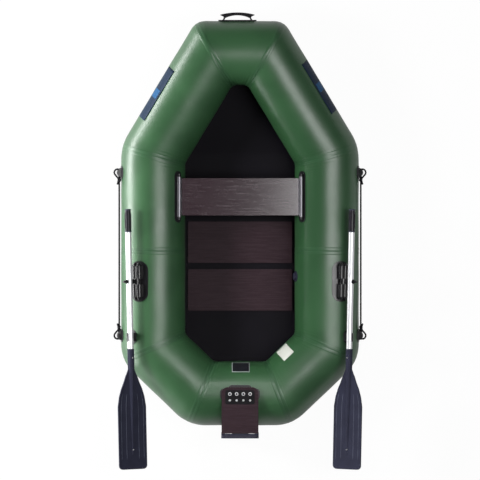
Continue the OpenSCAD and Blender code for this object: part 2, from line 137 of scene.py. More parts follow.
# %% [markdown]
# A soft box is an area lamp that the camera doesn't see. A large one hangs high
# up and to starboard and draws the grey sheen along the tops of the tubes. A
# small one beside it shows in the polished bench. One past the bow has a grid
# that keeps its light on the stern tube, and a long low one that stands on the
# floor to port gives the flanks that face it a white edge. The key lamp, high
# to port, lights the boat and lays the oar's shadow on the tube. It is left out
# of reflections, so that it doesn't draw a second sheen.


# %% Place the soft boxes
def soft_box(name, place, target, size, watts, grid=180, mirrored_in_gloss=True):
    lamp = bpy.data.lights.new(name, "AREA")
    lamp.shape = "RECTANGLE"
    lamp.size, lamp.size_y = size
    lamp.energy = watts
    lamp.spread = math.radians(grid)
    box = set_up(name, lamp)
    box.location = place
    box.rotation_euler = (Vector(target) - Vector(place)).to_track_quat("-Z", "Y").to_euler()
    box.visible_camera = False
    box.visible_glossy = mirrored_in_gloss


soft_box("overhead", (3.75, -0.05, 8.4), (3.75, -0.05, 0), size=(5.7, 2.5), watts=620)
soft_box("over_bench", (0.72, 0.24, 8.4), (0.72, 0.24, 0), size=(0.72, 0.9), watts=15)
soft_box("past_bow", (-0.1, 1.45, 3.6), (0, -0.9, 0.3), size=(0.9, 0.6), watts=1.7, grid=34)
soft_box("port_side", (-2.4, 0.1, 0.28), (0, 0.1, 0.28), size=(4.4, 0.42), watts=190)
soft_box("port_key", (-4.4, 0.6, 3.5), (0, 0, 0.3), size=(1.2, 1.2), watts=430,
         mirrored_in_gloss=False)

# %% [markdown]
# ## Shader maths in plain Python
# A finish is a tree of nodes. Writing `1 - mask` is easier to read than making
# Math nodes by hand, so one small class stands for a node's output and knows
# how to add, subtract and multiply. Every other node is made by the one method
# `Finish.node`, which takes its kind, its settings and what goes into it.


# %% Add a node to a tree
def feed(tree, socket, value):
    """Links a socket to another node's output, or sets it."""
    value = getattr(value, "socket", value)
    if isinstance(value, bpy.types.NodeSocket):
        tree.links.new(value, socket)
    elif isinstance(value, tuple) and socket.type == "RGBA":
        socket.default_value = (*value, 1)
    else:
        socket.default_value = value


def add(tree, kind, settings=None, inputs=None):
    made = tree.nodes.new(kind)
    for key, value in (settings or {}).items():
        setattr(made, key, value)
    for key, value in (inputs or {}).items():
        feed(tree, made.inputs[key], value)
    return made


# %% A signal is a number that a node gives
class Signal:
    def __init__(self, finish, socket):
        self.finish = finish
        self.socket = socket

    def math(self, operation, *values):
        inputs = dict(enumerate(values))
        return self.finish.node("ShaderNodeMath", {"operation": operation}, inputs)

    def __add__(self, other):
        return self.math("ADD", self, other)

    def __sub__(self, other):
        return self.math("SUBTRACT", self, other)

    def __rsub__(self, other):
        return self.math("SUBTRACT", other, self)

    def __mul__(self, other):
        return self.math("MULTIPLY", self, other)

    __radd__ = __add__
    __rmul__ = __mul__

    def size(self):
        """The number without its sign."""
        return self.math("ABSOLUTE", self)

    def ramp(self, start, stop):
        """Rises smoothly from 0 to 1 as the signal goes from start to stop."""
        return self.finish.node("ShaderNodeMapRange", {"interpolation_type": "SMOOTHSTEP"},
                                {0: self, 1: start, 2: stop})


# %% A finish is a material and the nodes in it
class Finish:
    def __init__(self, name, metallic=0.0, specular=0.5):
        self.material = bpy.data.materials.new(name)
        self.material.use_nodes = True
        self.tree = self.material.node_tree
        self.shader = self.tree.nodes["Principled BSDF"]
        self.shader.inputs["Metallic"].default_value = metallic
        self.shader.inputs["Specular IOR Level"].default_value = specular

    def node(self, kind, settings=None, inputs=None, output=0):
        return Signal(self, add(self.tree, kind, settings, inputs).outputs[output])

    def place(self, stretch=(1, 1, 1)):
        """The point on the piece, in metres, stretched."""
        point = self.node("ShaderNodeTexCoord", output="Object")
        return self.node("ShaderNodeMapping", inputs={"Vector": point, "Scale": stretch})

    def grain(self, scale, detail=2, where=None, distortion=0.0):
        """Cloudy noise from 0 to 1, with this many cells to the metre."""
        return self.node("ShaderNodeTexNoise", inputs={
            "Vector": where or self.place(), "Scale": scale, "Detail": detail,
            "Distortion": distortion})

    def between(self, mask, first, second):
        """The first colour where the mask is 0, and the second where it is 1."""
        return self.node("ShaderNodeMix", {"data_type": "RGBA"},
                         {0: mask, 6: first, 7: second}, output=2)

    def bump(self, height, depth, strength):
        return self.node("ShaderNodeBump", inputs={
            "Height": height, "Distance": depth, "Strength": strength})

    def give(self, **sockets):
        """Feeds the shader: give(Base_Color=..., Roughness=..., Normal=...)."""
        for name, value in sockets.items():
            feed(self.tree, self.shader.inputs[name.replace("_", " ")], value)
        return self.material


# %% [markdown]
# The floor shows white to the camera and in anything shiny, whatever the lamps
# do, and a small share of plain matt grey in it keeps the boat's soft shadow.


# %% Lay the floor and set the air
FLOOR_SIZE = 60.0
FLOOR_MATT = 0.55
FLOOR_IN_GLOSS = 0.35
FLOOR_WHITE_SHARE = 0.96
AIR_COLOUR = (0.9, 0.95, 1.0)
AIR_STRENGTH = 0.10


def floor_material():
    finish = Finish("studio_floor")
    matt = finish.node("ShaderNodeBsdfDiffuse", inputs={"Color": (FLOOR_MATT,) * 3})
    white = finish.node("ShaderNodeEmission", inputs={"Color": (1, 1, 1), "Strength": 1.0})
    seen, shine, through = [finish.node("ShaderNodeLightPath", output=f"Is {ray} Ray")
                            for ray in ("Camera", "Glossy", "Transmission")]
    share = (seen + shine * FLOOR_IN_GLOSS + through) * FLOOR_WHITE_SHARE
    mixed = finish.node("ShaderNodeMixShader", inputs={0: share, 1: matt, 2: white})
    feed(finish.tree, finish.tree.nodes["Material Output"].inputs["Surface"], mixed)
    return finish.material


bpy.ops.mesh.primitive_plane_add(size=FLOOR_SIZE, location=(0, 0, 0))
floor = bpy.context.object
floor.name = "floor"
floor.data.materials.append(floor_material())
world = bpy.data.worlds.new("studio_air")
world.use_nodes = True
world.node_tree.nodes["Background"].inputs["Color"].default_value = (*AIR_COLOUR, 1)
world.node_tree.nodes["Background"].inputs["Strength"].default_value = AIR_STRENGTH
bpy.context.scene.world = world
bpy.context.scene.view_settings.view_transform = "Standard"
print("floor laid,", FLOOR_SIZE, "m wide")

# %% [markdown]
# ## Finishes
# The tubes are PVC film on a woven core: a faint print of the weave under a
# satin skin. The colour wanders a little from panel to panel, the glued lap
# strips are a shade darker, and the grain is fine enough to break up glare.


# %% The skin of the air tubes
PVC_GREEN = (0.0205, 0.062, 0.0245)
PVC_DEEP = (0.016, 0.049, 0.0195)
PVC_LAP = (0.018, 0.054, 0.0225)


def tube_fabric():
    finish = Finish("green_tube_fabric")
    cloud = finish.grain(3.2, detail=3).ramp(0.35, 0.65)
    lap = finish.node("ShaderNodeAttribute", {"attribute_name": "lap"}, output="Fac")
    skin = finish.between(cloud, PVC_DEEP, PVC_GREEN)
    weave = finish.grain(900, detail=1)
    slack = finish.grain(22, detail=3)
    return finish.give(
        Base_Color=finish.between(lap, skin, PVC_LAP),
        Roughness=cloud * 0.05 + slack * 0.06 + 0.345,
        Normal=finish.bump(weave * 0.12 + slack, 0.0012, 0.35))


# %% The black stretched bottom
CLOTH_BLACK = ((0.0040, 0.0036, 0.0050), (0.0058, 0.0052, 0.0070))


def bottom_cloth():
    finish = Finish("black_bottom_fabric", specular=0.03)
    cloud = finish.grain(4, detail=3).ramp(0.3, 0.7)
    weave = finish.grain(700, detail=1)
    return finish.give(
        Base_Color=finish.between(cloud, *CLOTH_BLACK),
        Roughness=cloud * 0.12 + 0.42,
        Normal=finish.bump(weave, 0.0004, 0.4))


# %% [markdown]
# The boards are birch plywood, stained dark and faced with a resin film. Its
# grain runs across the boat, its face is pressed with a fine mesh, and its cut
# edges show the plies, which only a face that looks sideways has.


# %% Dark plywood
RESIN_FACE = ((0.0170, 0.0085, 0.0115), (0.0270, 0.0160, 0.0200))
CUT_PLIES = ((0.050, 0.030, 0.022), (0.018, 0.011, 0.010))
EDGE_PAINT = ((0.0200, 0.0190, 0.0290), (0.0270, 0.0260, 0.0380))


def plywood(name="dark_plywood", roughness=0.40, specular=0.08, on_edge=False, press=0.35):
    finish = Finish(name, specular=specular)
    streak = finish.grain(9, detail=4, where=finish.place(stretch=(1.0, 14, 14)), distortion=0.6)
    fleck = finish.grain(160)
    mesh_press = finish.grain(420, detail=1)
    face = finish.between((streak * 0.8 + fleck * 0.35).ramp(0.4, 0.85), *RESIN_FACE)
    if on_edge:
        edge = finish.between(fleck, *EDGE_PAINT)
    else:
        plies = finish.node("ShaderNodeTexWave", {"bands_direction": "Z"},
                            {"Vector": finish.place(), "Scale": 110.0, "Distortion": 0.6})
        edge = finish.between(plies.ramp(0.35, 0.65), *CUT_PLIES)
    normal = finish.node("ShaderNodeNewGeometry", output="Normal")
    facing = finish.node("ShaderNodeSeparateXYZ", inputs={0: normal},
                         output="Y" if on_edge else "Z")
    return finish.give(
        Base_Color=finish.between(1 - facing.size().ramp(0.3, 0.6), face, edge),
        Roughness=streak * 0.14 + fleck * 0.08 + roughness,
        Normal=finish.bump(mesh_press * 0.5 + streak, 0.0005, press))


# %% [markdown]
# The black pieces share one recipe: a deep colour, a fine moulded grain and a
# roughness that wanders. Rubber is duller and the blades' plastic is bluer.
# Metal tubes and channels are drawn through a die, so their streaks run along
# them.


# %% Rubber, plastic and rope
def moulded(name, dark, pale, roughness, grain_scale, depth, specular=0.35):
    finish = Finish(name, specular=specular)
    cloud = finish.grain(14, detail=3).ramp(0.3, 0.7)
    pebble = finish.grain(grain_scale)
    return finish.give(
        Base_Color=finish.between(cloud, dark, pale),
        Roughness=cloud * 0.1 + pebble * 0.1 + (roughness - 0.1),
        Normal=finish.bump(pebble, depth, 0.4))


# %% Bright metal
def drawn_metal(name, dark, pale, roughness, metallic, along):
    finish = Finish(name, metallic=metallic)
    streak = finish.grain(60, detail=3, where=finish.place(stretch=along))
    return finish.give(
        Base_Color=finish.between(streak.ramp(0.3, 0.7), dark, pale),
        Roughness=streak * 0.16 + (roughness - 0.08),
        Normal=finish.bump(streak, 0.0003, 0.3))


# %% Name the finish of each slot
def dress(node, finish):
    materials = frame["nodes"][node].data.materials
    materials.clear()
    materials.append(FINISHES[finish])


FINISHES = {
    "tube_fabric": tube_fabric(),
    "bottom_fabric": bottom_cloth(),
    "plywood": plywood(),
    "moulded_rubber": moulded("black_rubber", (0.0060, 0.0058, 0.0068),
                              (0.0110, 0.0105, 0.0125), 0.36, 300, 0.0005),
    "black_plastic": moulded("blade_plastic", (0.018, 0.0185, 0.030),
                             (0.021, 0.022, 0.036), 0.48, 500, 0.0004, specular=0.03),
    "oar_tube": drawn_metal("oar_tube_metal", (0.50, 0.50, 0.52), (0.58, 0.58, 0.59),
                            0.34, 0.35, (90, 1, 90)),
    "seat_channel": drawn_metal("grey_channel", (0.110, 0.105, 0.120),
                                (0.170, 0.165, 0.180), 0.36, 0.7, (60, 1, 60)),
    "bracket_steel": drawn_metal("zinc_steel", (0.42, 0.42, 0.43), (0.55, 0.55, 0.55),
                                 0.38, 1.0, (40, 40, 4)),
    "line": moulded("black_rope", (0.005, 0.005, 0.006), (0.009, 0.009, 0.011),
                    0.75, 900, 0.0006, specular=0.08),
}
RECORD_SLOTS = set(FINISHES)
for part in frame["record"]["subparts"]:
    dress(part["node"], part["material_slot"])
print(len(FINISHES), "finishes on", len(frame["nodes"]), "CAD nodes")

# %% [markdown]
# A few pieces break their slot's rule. The bench is polished by use, and the
# motor board stands on edge, so its face looks aft and its painted edge is
# what shows from above. The grips and the moulded oarlocks are glossier than
# other rubber. The plain strips and labels have flat inks.


# %% Finishes of single pieces
def ink(name, colour, roughness=0.45):
    finish = Finish(name, specular=0.08)
    cloud = finish.grain(30)
    return finish.give(Base_Color=colour, Roughness=cloud * 0.12 + (roughness - 0.06))


FINISHES.update({
    "navy_print": ink("navy_print", (0.0060, 0.0140, 0.0300)),
    "blue_print": ink("blue_print", (0.0100, 0.0500, 0.1200)),
    "pale_print": ink("pale_print", (0.3000, 0.3400, 0.3300)),
    "blank_label": ink("blank_label", (0.4200, 0.4300, 0.3900), 0.55),
    "black_label": ink("black_label", (0.0100, 0.0105, 0.0130)),
    "matt_rubber": moulded("matt_rubber", (0.0050, 0.0048, 0.0056), (0.0080, 0.0078, 0.0090),
                           0.6, 300, 0.0005, specular=0.08),
    # Pale plastic is a painted highlight on the blade ribs and the grip's end rings.
    "painted_highlight_plastic": moulded("painted_highlight_plastic", (0.034, 0.037, 0.056),
                               (0.056, 0.060, 0.084), 0.5, 500, 0.0004, specular=0.1),
    "glossy_black": moulded("glossy_black", (0.0040, 0.0038, 0.0046), (0.0070, 0.0066, 0.0080),
                            0.30, 260, 0.0003),
    "grip_black": moulded("grip_black", (0.0050, 0.0042, 0.0070), (0.0085, 0.0072, 0.0120),
                          0.34, 400, 0.0003, specular=0.22),
    "bench_plywood": plywood("bench_plywood", roughness=0.02, specular=0.65, press=0.12),
    "motor_board_plywood": plywood("motor_board_plywood", on_edge=True),
})
dress("seat_board", "bench_plywood")
dress("motor_board", "motor_board_plywood")
dress("bow_handle", "matt_rubber")
for side in SIDES:
    dress(f"{side}_oar_grip", "grip_black")
    for part in ("oarlock_base", "oarlock_swivel", "oar_pin"):
        dress(f"{side}_{part}", "glossy_black")
print(len(FINISHES) - len(RECORD_SLOTS), "finishes of single pieces")

# %% [markdown]
# ## From points to a piece
# Every modelled piece is made the same way: points and faces in metres, in the
# boat's own frame, with the object left at the origin. It rides on a body of
# the frame, takes its finish from a slot, and says which CAD nodes it hides.


# %% A helper that makes a piece
def new_mesh(name, points, edges=(), faces=()):
    mesh = bpy.data.meshes.new(name)
    mesh.from_pydata([tuple(p) for p in points], edges, faces)
    return mesh


def join_frame(made, slot, body="hull", replaces=()):
    """Rides on its body and hides the CAD nodes it stands for. The slot is not used."""
    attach(made, body)
    slot in RECORD_SLOTS
    if replaces:
        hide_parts(*replaces)
    print(made.name, len(made.data.polygons), "faces")
    return made


def piece(name, points, faces, slot, smooth=True, replaces=()):
    mesh = new_mesh(name, points, faces=faces)
    work = bmesh.new()
    work.from_mesh(mesh)
    bmesh.ops.recalc_face_normals(work, faces=work.faces)
    work.to_mesh(mesh)
    work.free()
    mesh.polygons.foreach_set("use_smooth", [smooth] * len(mesh.polygons))
    mesh.materials.append(FINISHES[slot])
    return join_frame(set_up(name, mesh), slot, replaces=replaces)


# %% Faces of a tube, a grid and a sheet with two sides
def rolled(rows, around):
    """Faces that join rows of points which go round a tube, and close its ends."""
    faces = [(r * around + i, r * around + (i + 1) % around,
              (r + 1) * around + (i + 1) % around, (r + 1) * around + i)
             for r in range(rows - 1) for i in range(around)]
    faces.append(tuple(range(around))[::-1])
    faces.append(tuple((rows - 1) * around + i for i in range(around)))
    return faces


def gridded(rows, across):
    """The faces of a grid of points, and the loop of points round its rim."""
    faces = [(r * across + i, r * across + i + 1, (r + 1) * across + i + 1, (r + 1) * across + i)
             for r in range(rows - 1) for i in range(across - 1)]
    last = (rows - 1) * across
    rim = (list(range(across)) + [r * across + across - 1 for r in range(1, rows)]
           + [last + i for i in range(across - 2, -1, -1)]
           + [r * across for r in range(rows - 2, 0, -1)])
    return faces, rim


def two_sided(upper, rim, count):
    """Adds the same faces on a second layer, count points on, and a wall at the rim."""
    lower = [tuple(count + v for v in face[::-1]) for face in upper]
    walls = [(a, rim[k - 1], count + rim[k - 1], count + a) for k, a in enumerate(rim)]
    return upper + lower + walls


# %% [markdown]
# ## The air tubes
# A boat builder cuts the ring from flat panels: each straight stretch is a
# cylinder, and at a corner two of them meet in a mitre. The pressure pushes the
# outer side of the mitre round, and the inner side creases and puckers, because
# there the cloth is too long. The mesh is made as the cloth runs: lines along
# the tube, each from one mitre to the next, with rings crowded near the mitres
# where the lap strip and the puckers are.

# %% Name what the cloth does
AROUND = 160
LAP_HALF = 0.018
LAP_LIFT, LAP_EDGE = 0.0006, 0.0008
GROOVE_DEEP, GROOVE_HALF = 0.0008, 0.0030
CREASE_R = 0.045
CREASE_CLIMB = 0.45
PUCKER_DEEP = 0.0026
PUCKER_WAVE, PUCKER_FAN = 0.0135, 0.9
PUCKER_REACH, PUCKER_SHARE = 0.105, 0.75
LAP_ROWS = (0, 0.0012, 0.0035, 0.007, 0.0105, 0.014, LAP_HALF - 0.0006, LAP_HALF + 0.0004, 0.021)
PUCKER_ROWS, MIDDLE_ROWS = 26, 10
SLACK_LIFT, SLACK_CELLS = 0.0011, 9.0
CORNER_STEP = 0.37
BENDS = {"front": 0.100, "bow": -0.080, "rear": 0.045, "stern": 0.055}


# %% Where a tube ends
End = namedtuple("End", "point heading outer half bend number")


def turn_between(before, after):
    """The half angle of a bend, its outer direction before it, and its rotation."""
    cosine = float(before @ after)
    axis = np.cross(before, after)
    outer = -(after - cosine * before)
    rotation = np.array(Matrix.Rotation(math.acos(cosine), 3, Vector(axis)))
    return math.acos(cosine) / 2, outer / np.linalg.norm(outer), rotation


def ends_of(k, stops, headings, bends):
    """The two ends of tube k. An end with no tube beyond it is square, and its half
    angle is 0."""
    ends = []
    for number, heading, near in ((k, -headings[k], k - 1), (k + 1, headings[k], k + 1)):
        half, outer, bend = 0.0, np.array(Z), 0.0
        if 0 <= near < len(headings):
            beyond = headings[near] if near > k else -headings[near]
            half, outer, _ = turn_between(heading, beyond)
            bend = bends[number - 1]
        ends.append(End(stops[number], heading, outer, half, bend,
                        number + CORNER_STEP * len(headings)))
    return ends


# %% One half of a straight tube, from a mitre to its middle
def along_steps(half_length):
    """Distances from a mitre, in rows: close together on the lap strip, then on
    the puckers, then out to the middle of the tube."""
    lap_end = LAP_ROWS[-1]
    pucker_end = np.minimum(PUCKER_REACH, lap_end + (half_length - lap_end) * PUCKER_SHARE)
    rows = [np.full_like(half_length, d) for d in LAP_ROWS]
    for t in np.linspace(0, 1, PUCKER_ROWS + 1)[1:]:
        rows.append(lap_end + (pucker_end - lap_end) * t)
    for t in np.linspace(0, 1, MIDDLE_ROWS + 1)[1:]:
        rows.append(pucker_end + (half_length - pucker_end) * t)
    return np.array(rows)


def wrap(end, offsets, steps):
    """Points and normals of the cloth at distances `steps` before an end, for the
    lines that start at `offsets` from the tube's axis."""
    width = offsets @ end.outer
    radius = np.maximum(end.bend + width, 0)
    turned = np.clip(end.half - steps / np.maximum(radius, 1e-9), 0, end.half) * (radius > 0)
    straight = np.where(radius > 0, np.maximum(steps - radius * end.half, 0), steps)
    start = np.where(radius > 0, -end.bend * math.tan(end.half), width * math.tan(end.half))
    reach = start - straight + radius * np.sin(turned)
    swing = radius * (np.cos(turned) - 1)
    points = (end.point + offsets[None] + reach[..., None] * end.heading
              + swing[..., None] * end.outer)
    flat = offsets - np.outer(width, end.outer)
    normals = (flat[None] + (width * np.cos(turned))[..., None] * end.outer
               + (width * np.sin(turned))[..., None] * end.heading)
    return points, normals / TUBE_R


# %% [markdown]
# The puckers are waves whose crests run along the mitre. They are deepest at
# the crease, fan out and fade as they climb the tube, and no two corners get
# the same ones, so each corner shifts and stretches its waves by its number.


# %% Lap strips, puckers and slack
def cloth_lift(end, lean, steps):
    """How far the cloth stands off the plain tube, and where the lap strip is. lean
    is -1 at the crease and 1 on the outer side of the bend. Inside the crease the
    cloth bridges the corner in a fillet, because it is too stiff to fold."""
    lap = np.clip((LAP_HALF - steps) / LAP_EDGE, 0, 1)
    groove = -GROOVE_DEEP * np.exp(-(steps / GROOVE_HALF) ** 2)
    if end.half == 0:
        return lap * LAP_LIFT + groove, lap
    bridge_r = CREASE_R * np.clip(-lean, 0, 1)
    within = np.clip(bridge_r * math.tan(end.half) - steps, 0, None)
    bridge = bridge_r - np.sqrt(np.maximum(bridge_r ** 2 - within ** 2, 0))
    crease = np.clip((CREASE_CLIMB - lean) / (1 + CREASE_CLIMB), 0, 1) ** 1.6
    wave = PUCKER_WAVE * (1 + PUCKER_FAN * (1 + lean)) * (1 + 0.11 * math.sin(5.1 * end.number))
    drift = 0.35 * np.sin(3 * lean + 2.3 * end.number)
    fade = np.clip(1 - steps / (PUCKER_REACH * (0.45 + 0.55 * crease)), 0, 1) ** 1.3
    ripple = 0.5 - 0.5 * np.cos(2 * math.pi * (steps / wave + drift * fade))
    uneven = 0.72 + 0.28 * np.sin(steps * 71 + 4 * lean + end.number)
    pucker = PUCKER_DEEP * crease * fade * ripple * uneven
    return lap * LAP_LIFT + groove + bridge - pucker, lap


def half_tube(end, offsets, length):
    """The cloth from a tube's end to its middle, and where its lap strip is."""
    steps = along_steps(length / 2)
    points, normals = wrap(end, offsets, steps)
    lift, lap = cloth_lift(end, offsets @ end.outer / TUBE_R, steps)
    for spot in np.ndindex(lift.shape):
        lift[spot] += SLACK_LIFT * noise.noise(Vector(points[spot]) * SLACK_CELLS)
    return points + normals * lift[..., None], lap


# %% A whole chamber
def carried_round(headings):
    """Where the cloth's lines lie round each tube's axis. They are set level on the
    middle tube and carried through the bends, so that no line twists."""
    angles = np.linspace(0, 2 * math.pi, AROUND, endpoint=False)
    middle = len(headings) // 2
    up = np.array(Z) - headings[middle][2] * headings[middle]
    up /= np.linalg.norm(up)
    side = np.cross(headings[middle], up)
    offsets = {middle: TUBE_R * (np.outer(np.cos(angles), side) + np.outer(np.sin(angles), up))}
    for k in range(middle, len(headings) - 1):
        offsets[k + 1] = offsets[k] @ turn_between(headings[k], headings[k + 1])[2].T
    for k in range(middle, 0, -1):
        offsets[k - 1] = offsets[k] @ turn_between(headings[k], headings[k - 1])[2].T
    return offsets


def line_lengths(ends, offsets):
    """How long each of the cloth's lines is from one end of its tube to the other."""
    length = np.full(AROUND, np.linalg.norm(ends[1].point - ends[0].point))
    for end in ends:
        width = offsets @ end.outer
        radius = np.maximum(end.bend + width, 0)
        length += np.where(radius > 0, radius * end.half - end.bend * math.tan(end.half),
                           width * math.tan(end.half))
    return length


def chamber(name, half_way, bends, cross_tube, side_tubes):
    """The cloth of five tubes, from the port seam round to the starboard one. half_way
    gives the starboard points from the seam on, and bends the bends at them."""
    stops = [np.array(mirrored(p)) for p in half_way] + [np.array(p) for p in half_way[::-1]]
    bends = [BENDS[b] for b in bends + bends[::-1]]
    headings = [(b - a) / np.linalg.norm(b - a) for a, b in zip(stops, stops[1:])]
    offsets = carried_round(headings)
    rows, laps = [], []
    for k in range(len(headings)):
        ends = ends_of(k, stops, headings, bends)
        length = line_lengths(ends, offsets[k])
        (near, near_lap), (far, far_lap) = [half_tube(end, offsets[k], length) for end in ends]
        shared = min(k, 1)
        rows += [near[shared:], far[::-1][1:]]
        laps += [near_lap[shared:], far_lap[::-1][1:]]
    grid, lap = np.concatenate(rows), np.concatenate(laps)
    skin = piece(name, grid.reshape(-1, 3), rolled(len(grid), AROUND), "tube_fabric",
                 replaces=[cross_tube] + [f"{side}_{part}" for side in SIDES
                                          for part in side_tubes])
    strip = skin.data.attributes.new("lap", "FLOAT", "POINT")
    strip.data.foreach_set("value", lap.reshape(-1).astype(np.float32))


# %% Inflate the two chambers
chamber("forward_chamber_skin", [seam_point, front_point, bow_point], ["front", "bow"],
        "bow_tube", ("bow_quarter_tube", "forward_side_tube"))
chamber("aft_chamber_skin", [seam_point, rear_point, stern_point], ["rear", "stern"],
        "stern_tube", ("stern_quarter_tube", "aft_side_tube"))

# %% [markdown]
# ## The stretched bottom
# The bottom is one sheet of coated cloth, glued under the tubes all round and
# pulled tight by them, level between the side tubes and rising to the bow. It
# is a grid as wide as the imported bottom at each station, with faint draws that
# run in from its glued edge. A margin goes on under the tubes and falls away
# with their round, and a second layer below gives the cloth its thickness.


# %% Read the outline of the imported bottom
SAME_STATION = 0.006


def outline_of(node):
    """Half width and top height of a CAD sheet at the stations of its outline."""
    points = np.array([v.co for v in frame["nodes"][node].data.vertices])
    stations = sorted({round(y, 3) for y in points[:, 1]})
    rows = [points[np.abs(points[:, 1] - y) < SAME_STATION] for y in stations]
    return (np.array(stations), np.array([r[:, 0].max() for r in rows]),
            np.array([r[:, 2].max() for r in rows]))


stations, widths, heights = outline_of("bottom_fabric")
print(len(stations), "stations, widest", round(float(2 * widths.max()), 3), "m")

# %% Stretch the bottom
STATIONS, ACROSS = 150, 90
CLOTH_THICK = 0.0012
END_GAP, SIDE_GAP, TOP_GAP = 0.001, 0.0005, 0.0002
DRAW_DEEP, DRAW_WAVE, DRAW_REACH = 0.0022, 0.055, 0.05
SAG_DEEP, SAG_CELLS = 0.0012, 5
CALM_EDGE = 0.012
GLUE_LINE = 0.0637
MARGIN = (0.008, 0.016, 0.026)


def sink_at(x, y, inboard):
    """How far the cloth lies below its glued edge, this far in from it."""
    draw = math.cos(2 * math.pi * y / DRAW_WAVE + 2.2 * math.sin(9 * y)) - 1
    slack = noise.noise(Vector((x * SAG_CELLS, y * SAG_CELLS, 0.3)))
    sink = DRAW_DEEP * 0.5 * draw * math.exp(-inboard / DRAW_REACH) - SAG_DEEP * (1 + slack)
    return sink * (1 - math.exp(-inboard / CALM_EDGE))


def grow_margin(top, upper, rim):
    """Adds rows of points outside the rim, which go down with the tubes' round."""
    edge = np.array([top[v] for v in rim])
    ahead = np.roll(edge, -3, axis=0) - np.roll(edge, 3, axis=0)
    out = np.stack([ahead[:, 1], -ahead[:, 0]], axis=1)
    out /= np.linalg.norm(out, axis=1)[:, None]
    level = math.sqrt(TUBE_R ** 2 - GLUE_LINE ** 2)
    for step in MARGIN:
        fall = math.sqrt(TUBE_R ** 2 - (GLUE_LINE - step) ** 2) - level
        grown = list(range(len(top), len(top) + len(rim)))
        top += [(x + step * dx, y + step * dy, z - fall) for (x, y, z), (dx, dy) in zip(edge, out)]
        upper += [(rim[k - 1], grown[k - 1], grown[k], rim[k]) for k in range(len(rim))]
        rim = grown
    girth = float(np.linalg.norm(edge - np.roll(edge, 1, axis=0), axis=1).sum())
    return rim, girth


def bottom_sheet():
    ys = np.linspace(stations[0] + END_GAP, stations[-1] - END_GAP, STATIONS)
    top, area = [], 0.0
    for y in ys:
        half = np.interp(y, stations, widths) - SIDE_GAP
        height = np.interp(y, stations, heights) - TOP_GAP
        for t in np.linspace(-1, 1, ACROSS):
            inboard = min((1 - abs(t)) * half, y - ys[0], ys[-1] - y)
            top.append((half * t, y, height + sink_at(half * t, y, inboard)))
        area += 2 * half * (ys[1] - ys[0])
    upper, rim = gridded(STATIONS, ACROSS)
    rim, girth = grow_margin(top, upper, rim)
    area += MARGIN[-1] * girth
    points = top + [(x, y, z - CLOTH_THICK) for x, y, z in top]
    sheet = piece("bottom_cloth", points, two_sided(upper, rim, len(top)), "bottom_fabric",
                  replaces=["bottom_fabric"])


bottom_sheet()

# %% [markdown]
# ## A bead that follows a path
# Ribs, welts and the strands of a rope are all a round bar along a line. One
# Geometry Nodes tree makes them: it turns edges into a curve, thins the curve
# at its ends, and sweeps a circle along it. The result is kept as plain mesh.


# %% Helpers that build a tree
def new_tree(name, inputs):
    tree = bpy.data.node_groups.new(name, "GeometryNodeTree")
    tree.interface.new_socket("Geometry", in_out="INPUT", socket_type="NodeSocketGeometry")
    for label, kind in inputs.items():
        tree.interface.new_socket(label, in_out="INPUT", socket_type=kind)
    tree.interface.new_socket("Geometry", in_out="OUTPUT", socket_type="NodeSocketGeometry")
    return tree


def finish_tree(tree, geometry, material):
    """Real geometry with its material, because instances aren't exported."""
    real = add(tree, "GeometryNodeRealizeInstances", inputs={"Geometry": geometry})
    smooth = add(tree, "GeometryNodeSetShadeSmooth", inputs={"Geometry": real.outputs[0]})
    painted = add(tree, "GeometryNodeSetMaterial",
                  inputs={"Geometry": smooth.outputs[0], "Material": material})
    add(tree, "NodeGroupOutput", inputs={0: painted.outputs[0]})


# %% Build the bead tree
BAR_SIDES = 8
TIP_THICKNESS = 0.15


def bead_tree():
    tree = new_tree("bead", {"Radius": "NodeSocketFloat", "Tip": "NodeSocketFloat",
                             "Material": "NodeSocketMaterial"})
    given = add(tree, "NodeGroupInput")
    line = add(tree, "GeometryNodeMeshToCurve", inputs={"Mesh": given.outputs["Geometry"]})
    place = add(tree, "GeometryNodeSplineParameter")
    from_end = add(tree, "ShaderNodeMath", {"operation": "PINGPONG"},
                   {0: place.outputs["Factor"], 1: 0.5})
    grown = add(tree, "ShaderNodeMapRange", {"interpolation_type": "SMOOTHSTEP"},
                {"Value": from_end.outputs[0], "From Max": given.outputs["Tip"],
                 "To Min": TIP_THICKNESS})
    thick = add(tree, "ShaderNodeMath", {"operation": "MULTIPLY"},
                {0: grown.outputs[0], 1: given.outputs["Radius"]})
    round_bar = add(tree, "GeometryNodeCurvePrimitiveCircle",
                    inputs={"Resolution": BAR_SIDES, "Radius": 1.0})
    swept = add(tree, "GeometryNodeCurveToMesh",
                inputs={"Curve": line.outputs[0], "Profile Curve": round_bar.outputs[0],
                        "Scale": thick.outputs[0], "Fill Caps": True})
    finish_tree(tree, swept.outputs[0], given.outputs["Material"])
    return tree


# %% Keep what a tree makes
def settle(made, tree, values):
    """Runs a tree on an object and keeps what it makes as a plain mesh."""
    modifier = made.modifiers.new(tree.name, "NODES")
    modifier.node_group = tree
    for item in tree.interface.items_tree:
        if item.in_out == "INPUT" and item.name in values:
            modifier[item.identifier] = values[item.name]
    settled = made.evaluated_get(bpy.context.evaluated_depsgraph_get())
    mesh = bpy.data.meshes.new_from_object(settled)
    made.modifiers.clear()
    made.data = mesh
    return made


BEAD = bead_tree()


def beads(name, paths, radius, slot, body="hull", tip=0.02, replaces=()):
    """Round bars along paths, each a list of points. A closed one ends where it
    starts."""
    points, edges = [], []
    for path in paths:
        first = len(points)
        points += path
        edges += [(first + i, first + i + 1) for i in range(len(path) - 1)]
    made = settle(set_up(name, new_mesh(name, points, edges)), BEAD,
                  {"Radius": radius, "Tip": tip, "Material": FINISHES[slot]})
    return join_frame(made, slot, body, replaces)
